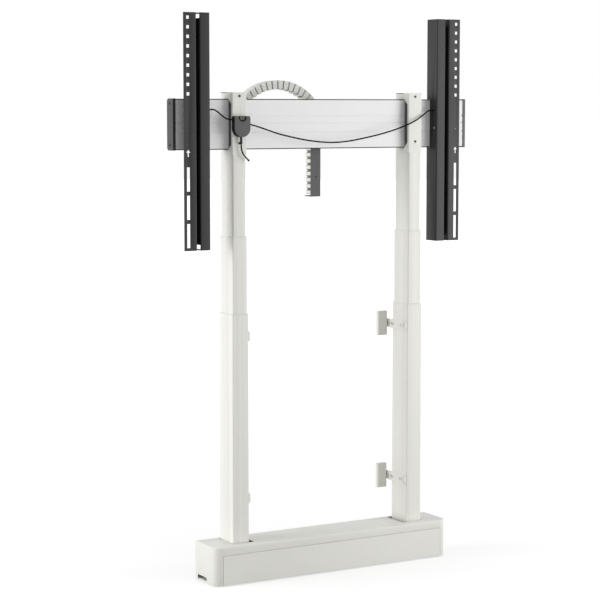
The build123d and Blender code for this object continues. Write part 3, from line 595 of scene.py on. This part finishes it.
def cutPiece(mesh, place, normal, keepOuter):
    everything = mesh.verts[:] + mesh.edges[:] + mesh.faces[:]
    made = bmesh.ops.bisect_plane(mesh, geom=everything, plane_co=place, plane_no=normal,
                                  dist=cadMesh["cutGap"], clear_inner=keepOuter, clear_outer=not keepOuter)
    loop = [e for e in made["geom_cut"] if isinstance(e, bmesh.types.BMEdge)]
    bmesh.ops.contextual_create(mesh, geom=loop)
    bmesh.ops.recalc_face_normals(mesh, faces=mesh.faces)


def makeHandle(form):
    low, high = (Vector(corner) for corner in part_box("pull_handle"))
    split = (0, low.y + form["face"], 0)
    body = mergedCopy("pull_handle")
    cutPiece(body, split, (0, 1, 0), True)
    softenEdges(body, sharpEdges(body, form["crease"]), form["edge"] / 2)
    shell = finishPiece("pullHandleBody", body, "black_plastic", "carriage", "pull_handle")
    shell.data.materials[0] = handleDark
    smoothFaces(shell)

    face = mergedCopy("pull_handle")
    cutPiece(face, split, (0, 1, 0), False)
    middleX = (low.x + high.x) / 2
    disc = bmesh.new()
    base = Vector((middleX, low.y + form["scoopDepth"], high.z - form["scoopDrop"]))
    addDisc(disc, base, (0, -1, 0), form["discRadius"], form["scoopDepth"] - form["discSink"],
            form["discCorners"])
    cutPiece(disc, (0, 0, high.z - form["discTop"]), (0, 0, 1), False)
    front = min(disc.faces, key=lambda f: f.calc_center_median().y)
    bmesh.ops.bevel(disc, geom=list(front.edges), offset=form["edge"], segments=2, profile=0.5,
                    affect="EDGES", material=-1)
    front = min(disc.faces, key=lambda f: f.calc_center_median().y)
    bmesh.ops.inset_region(disc, faces=[front], thickness=form["edge"] * form["dishRim"],
                           depth=-form["dish"])
    spare = bpy.data.meshes.new("handleDisc")
    disc.to_mesh(spare)
    disc.free()
    face.from_mesh(spare)
    bpy.data.meshes.remove(spare)
    smoothFaces(finishPiece("pullHandleFace", face, "grey_plastic", "carriage"))


makeHandle(handleForm)
print("stage: handle made")

# torsion springs on the latch pins
springForm = {
    "wire": 0.55 * mm,
    "wireCorners": 10,
    "turns": 3,
    "steps": 20,
    "end": 0.2 * mm,
    "smoothed": 60,
}


def makeSpring(side, form):
    low, high = (Vector(corner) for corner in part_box(side + "_latch_spring"))
    middle = (low + high) / 2
    coil = (high.z - low.z) / 2 - form["wire"]
    travel = high.x - low.x - 2 * form["wire"] - form["end"]
    mesh = bmesh.new()
    start = Matrix.Translation((low.x + form["wire"], middle.y, middle.z + coil))
    made = bmesh.ops.create_circle(mesh, cap_ends=False, segments=form["wireCorners"],
                                   radius=form["wire"], matrix=start @ Matrix.Rotation(math.pi / 2, 4, "X"))
    count = form["turns"] * form["steps"]
    section = made["verts"] + list(dict.fromkeys(e for v in made["verts"] for e in v.link_edges))
    bmesh.ops.spin(mesh, geom=section, cent=middle, axis=(1, 0, 0), dvec=(travel / count, 0, 0),
                   angle=2 * math.pi * form["turns"], steps=count, use_merge=False, use_duplicate=False)
    ends = [e for e in mesh.edges if len(e.link_faces) == 1]
    bmesh.ops.holes_fill(mesh, edges=ends, sides=form["wireCorners"])
    bmesh.ops.recalc_face_normals(mesh, faces=mesh.faces)
    piece = finishPiece(side + "LatchSpring", mesh, "bright_steel", side + "_hanger",
                        side + "_latch_spring")
    smoothFaces(piece, form["smoothed"])


for side in sides:
    makeSpring(side, springForm)

# rubber feet with a soft rim and gripping rings underneath
footForm = {
    "corners": 40,
    "rim": 0.8 * mm,
    "rings": 3,
    "ring": 2.4 * mm,
    "wall": 6,               # a ring's wall is its width over this
    "sink": 0.5 * mm,
}


def makeFeet(form):
    mesh = bmesh.new()
    for low, high in islandBoxes("base_feet"):
        middle = (low + high) / 2
        verts = addDisc(mesh, (middle.x, middle.y, high.z), (0, 0, -1), (high.x - low.x) / 2,
                        high.z - low.z, form["corners"])[0]
        sole = farFace(verts, (0, 0, -1))
        bmesh.ops.bevel(mesh, geom=list(sole.edges), offset=form["rim"], segments=3, profile=0.5,
                        affect="EDGES", material=-1)
        ends = [f for f in mesh.faces if len(f.verts) == form["corners"]]
        near = [f for f in ends if (f.calc_center_median() - middle).length < form["ring"] * 2]
        sole = min(near, key=lambda f: f.calc_center_median().z)
        for ring in range(form["rings"]):
            bmesh.ops.inset_region(mesh, faces=[sole], thickness=form["ring"], depth=0)
            bmesh.ops.inset_region(mesh, faces=[sole], thickness=form["ring"] / form["wall"],
                                   depth=form["sink"] * (-1 if ring % 2 == 0 else 1))
    piece = finishPiece("baseFeet", mesh, "foot_rubber", "stand", "base_feet")
    smoothFaces(piece)


makeFeet(footForm)
print("stage: springs and feet made")

# pull cords, as smooth splines led by the same points as the model's
cordRoutes = {
    "left_pull_cord": [
        (-394.0, -37.0, 1288.0), (-388.0, -37.0, 1288.0), (-380.5, -30.0, 1288.0),
        (-366.0, -30.5, 1290.0), (-354.5, -33.0, 1290.0), (-341.0, -40.0, 1277.5),
        (-325.0, -46.0, 1263.0), (-306.0, -46.0, 1263.0)],
    "right_pull_cord": [
        (-258.0, -46.0, 1251.0), (-240.0, -46.0, 1247.0), (-209.0, -46.5, 1237.5),
        (-172.0, -46.0, 1225.5), (-130.0, -46.5, 1216.0), (-86.0, -46.0, 1207.5),
        (-40.0, -46.5, 1201.5), (8.0, -46.0, 1199.0), (56.0, -46.5, 1202.5),
        (104.0, -46.0, 1210.5), (152.0, -46.5, 1219.5), (198.0, -46.0, 1230.5),
        (240.0, -46.5, 1243.5), (277.0, -47.0, 1258.5), (306.0, -43.5, 1275.0),
        (331.5, -30.0, 1288.0), (352.0, -30.0, 1288.0), (359.5, -37.0, 1288.0),
        (365.5, -37.0, 1288.0)],
    "cord_tail": [
        (-282.0, -46.0, 1198.5), (-282.0, -46.0, 1186.0), (-278.5, -46.6, 1174.5),
        (-271.0, -46.4, 1164.0), (-260.5, -46.0, 1155.0)],
}
cordEnds = {        # each pull cord runs from its strip at one end to the carriage at the other; these cords are made as meshes
    "left_pull_cord": ("left_hanger", (-378.0, -30.0, 1288.0), (-312.0, -30.0, 1288.0)),
    "right_pull_cord": ("right_hanger", (349.0, -30.0, 1288.0), (170.0, -30.0, 1288.0)),
}
cordForm = {"diameter": 0.004, "ringSteps": 5, "lineSteps": 12}


def metres(place):
    return [v * mm for v in place]


def meshOfCord(cord):
    # the same tube as a mesh, and the line that it follows
    data = bpy.data.meshes.new_from_object(cord)
    cord.data.bevel_depth = 0        # leaves the line alone
    bpy.context.view_layer.update()
    line = bpy.data.meshes.new_from_object(cord)
    path = [vert.co[:] for vert in line.vertices]
    name = cord.name
    bpy.data.objects.remove(cord)
    tube = bpy.data.objects.new(name, data)
    bpy.context.scene.collection.objects.link(tube)
    return tube, path


def makeCord(node, points, form):
    curve = bpy.data.curves.new(camelName(node), "CURVE")
    curve.dimensions = "3D"
    curve.bevel_depth = form["diameter"] / 2
    curve.bevel_resolution = form["ringSteps"]
    curve.use_fill_caps = True
    curve.resolution_u = form["lineSteps"]
    line = curve.splines.new("NURBS")
    line.points.add(len(points) - 1)
    for point, place in zip(line.points, points):
        point.co = (*metres(place), 1)
    line.order_u = 3
    line.use_endpoint_u = True
    cord = bpy.data.objects.new(camelName(node), curve)
    bpy.context.scene.collection.objects.link(cord)
    curve.materials.append(finishes["cord_cover"])
    path = None
    if node in cordEnds:
        cord, path = meshOfCord(cord)
        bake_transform(cord)
    else:
        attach(cord, "carriage")
    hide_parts(node)


for node, points in cordRoutes.items():
    makeCord(node, points, cordForm)
print("stage: cords laid")

# studio: white all round, a strong soft lamp from the left, a smaller one from the front right
studio = {
    "floor": 0.5,
    "floorRadius": 30.0,
    "floorCorners": 96,
    "paperRough": 0.95,
    "paperGrain": 250,
    "paperRelief": 0.05,
    "paperDepth": 0.0002,
    "floorGlow": 0.56,       # only what the camera sees, and more of it far from the object
    "farGlow": 0.08,
    "world": 0.56,
    "lamps": [
        {"name": "softLeft", "place": (-4.6, 1.1, 1.3), "aim": (0, 0, 0.5), "size": 3.2, "power": 148},
        {"name": "frontRight", "place": (2.3, -2.4, 0.9), "aim": (0, 0, 0.8), "size": 2.4, "power": 62},
    ],
}


def seenPlainly(nodes, links):
    # one for the rays that show the background, nought for those that light the object
    light = nodes.new("ShaderNodeLightPath")
    total = light.outputs["Is Camera Ray"]
    for label in ("Is Glossy Ray", "Is Transmission Ray"):
        larger = nodes.new("ShaderNodeMath")
        larger.operation = "MAXIMUM"
        links.new(total, larger.inputs[0])
        links.new(light.outputs[label], larger.inputs[1])
        total = larger.outputs[0]
    return total


def makeWorld(setup):
    world = bpy.data.worlds.new("studioWorld")
    world.use_nodes = True
    nodes, links = world.node_tree.nodes, world.node_tree.links
    shade = nodes["Background"]
    shade.inputs["Strength"].default_value = setup["world"]
    white = nodes.new("ShaderNodeBackground")
    mix = nodes.new("ShaderNodeMixShader")
    links.new(seenPlainly(nodes, links), mix.inputs[0])
    links.new(shade.outputs[0], mix.inputs[1])
    links.new(white.outputs[0], mix.inputs[2])
    links.new(mix.outputs[0], nodes["World Output"].inputs["Surface"])
    for item in (shade, white):
        item.inputs["Color"].default_value = (1, 1, 1, 1)
    bpy.context.scene.world = world


def makeFloor(setup):
    mesh = bmesh.new()
    bmesh.ops.create_circle(mesh, cap_ends=True, segments=setup["floorCorners"],
                            radius=setup["floorRadius"])
    data = bpy.data.meshes.new("studioFloor")
    mesh.to_mesh(data)
    mesh.free()
    floor = bpy.data.objects.new("studioFloor", data)
    bpy.context.scene.collection.objects.link(floor)
    material, nodes, links, shader = newMaterial("studioPaper", (setup["floor"],) * 3,
                                                 setup["paperRough"], Specular_IOR_Level=0.0)
    tooth = noiseOn(nodes, links, objectCoords(nodes, links), setup["paperGrain"],
                    detail=2.0)
    bumpFrom(nodes, links, shader, tooth, setup["paperRelief"], setup["paperDepth"])
    glow = nodes.new("ShaderNodeEmission")
    distance = nodes.new("ShaderNodeVectorMath")
    distance.operation = "LENGTH"
    links.new(objectCoords(nodes, links), distance.inputs[0])
    ramp = nodes.new("ShaderNodeMath")
    ramp.operation = "MULTIPLY_ADD"
    ramp.use_clamp = True
    ramp.inputs[1].default_value = setup["farGlow"]
    ramp.inputs[2].default_value = setup["floorGlow"]
    links.new(distance.outputs["Value"], ramp.inputs[0])
    strength = nodes.new("ShaderNodeMath")
    strength.operation = "MULTIPLY"
    links.new(ramp.outputs[0], strength.inputs[1])
    links.new(seenPlainly(nodes, links), strength.inputs[0])
    links.new(strength.outputs[0], glow.inputs["Strength"])
    both = nodes.new("ShaderNodeAddShader")
    links.new(shader.outputs[0], both.inputs[0])
    links.new(glow.outputs[0], both.inputs[1])
    links.new(both.outputs[0], nodes["Material Output"].inputs["Surface"])
    data.materials.append(material)


def makeLamps(setup):
    for lamp in setup["lamps"]:
        light = bpy.data.lights.new(lamp["name"], "AREA")
        light.shape = "DISK"
        light.size = lamp["size"]
        light.energy = lamp["power"]
        item = bpy.data.objects.new(lamp["name"], light)
        item.location = lamp["place"]
        aim = Vector(lamp["aim"]) - Vector(lamp["place"])
        item.rotation_euler = aim.to_track_quat("-Z", "Y").to_euler()
        bpy.context.scene.collection.objects.link(item)


makeWorld(studio)
makeFloor(studio)
makeLamps(studio)
bpy.context.scene.view_settings.view_transform = "Standard"
print("stage: studio lit")
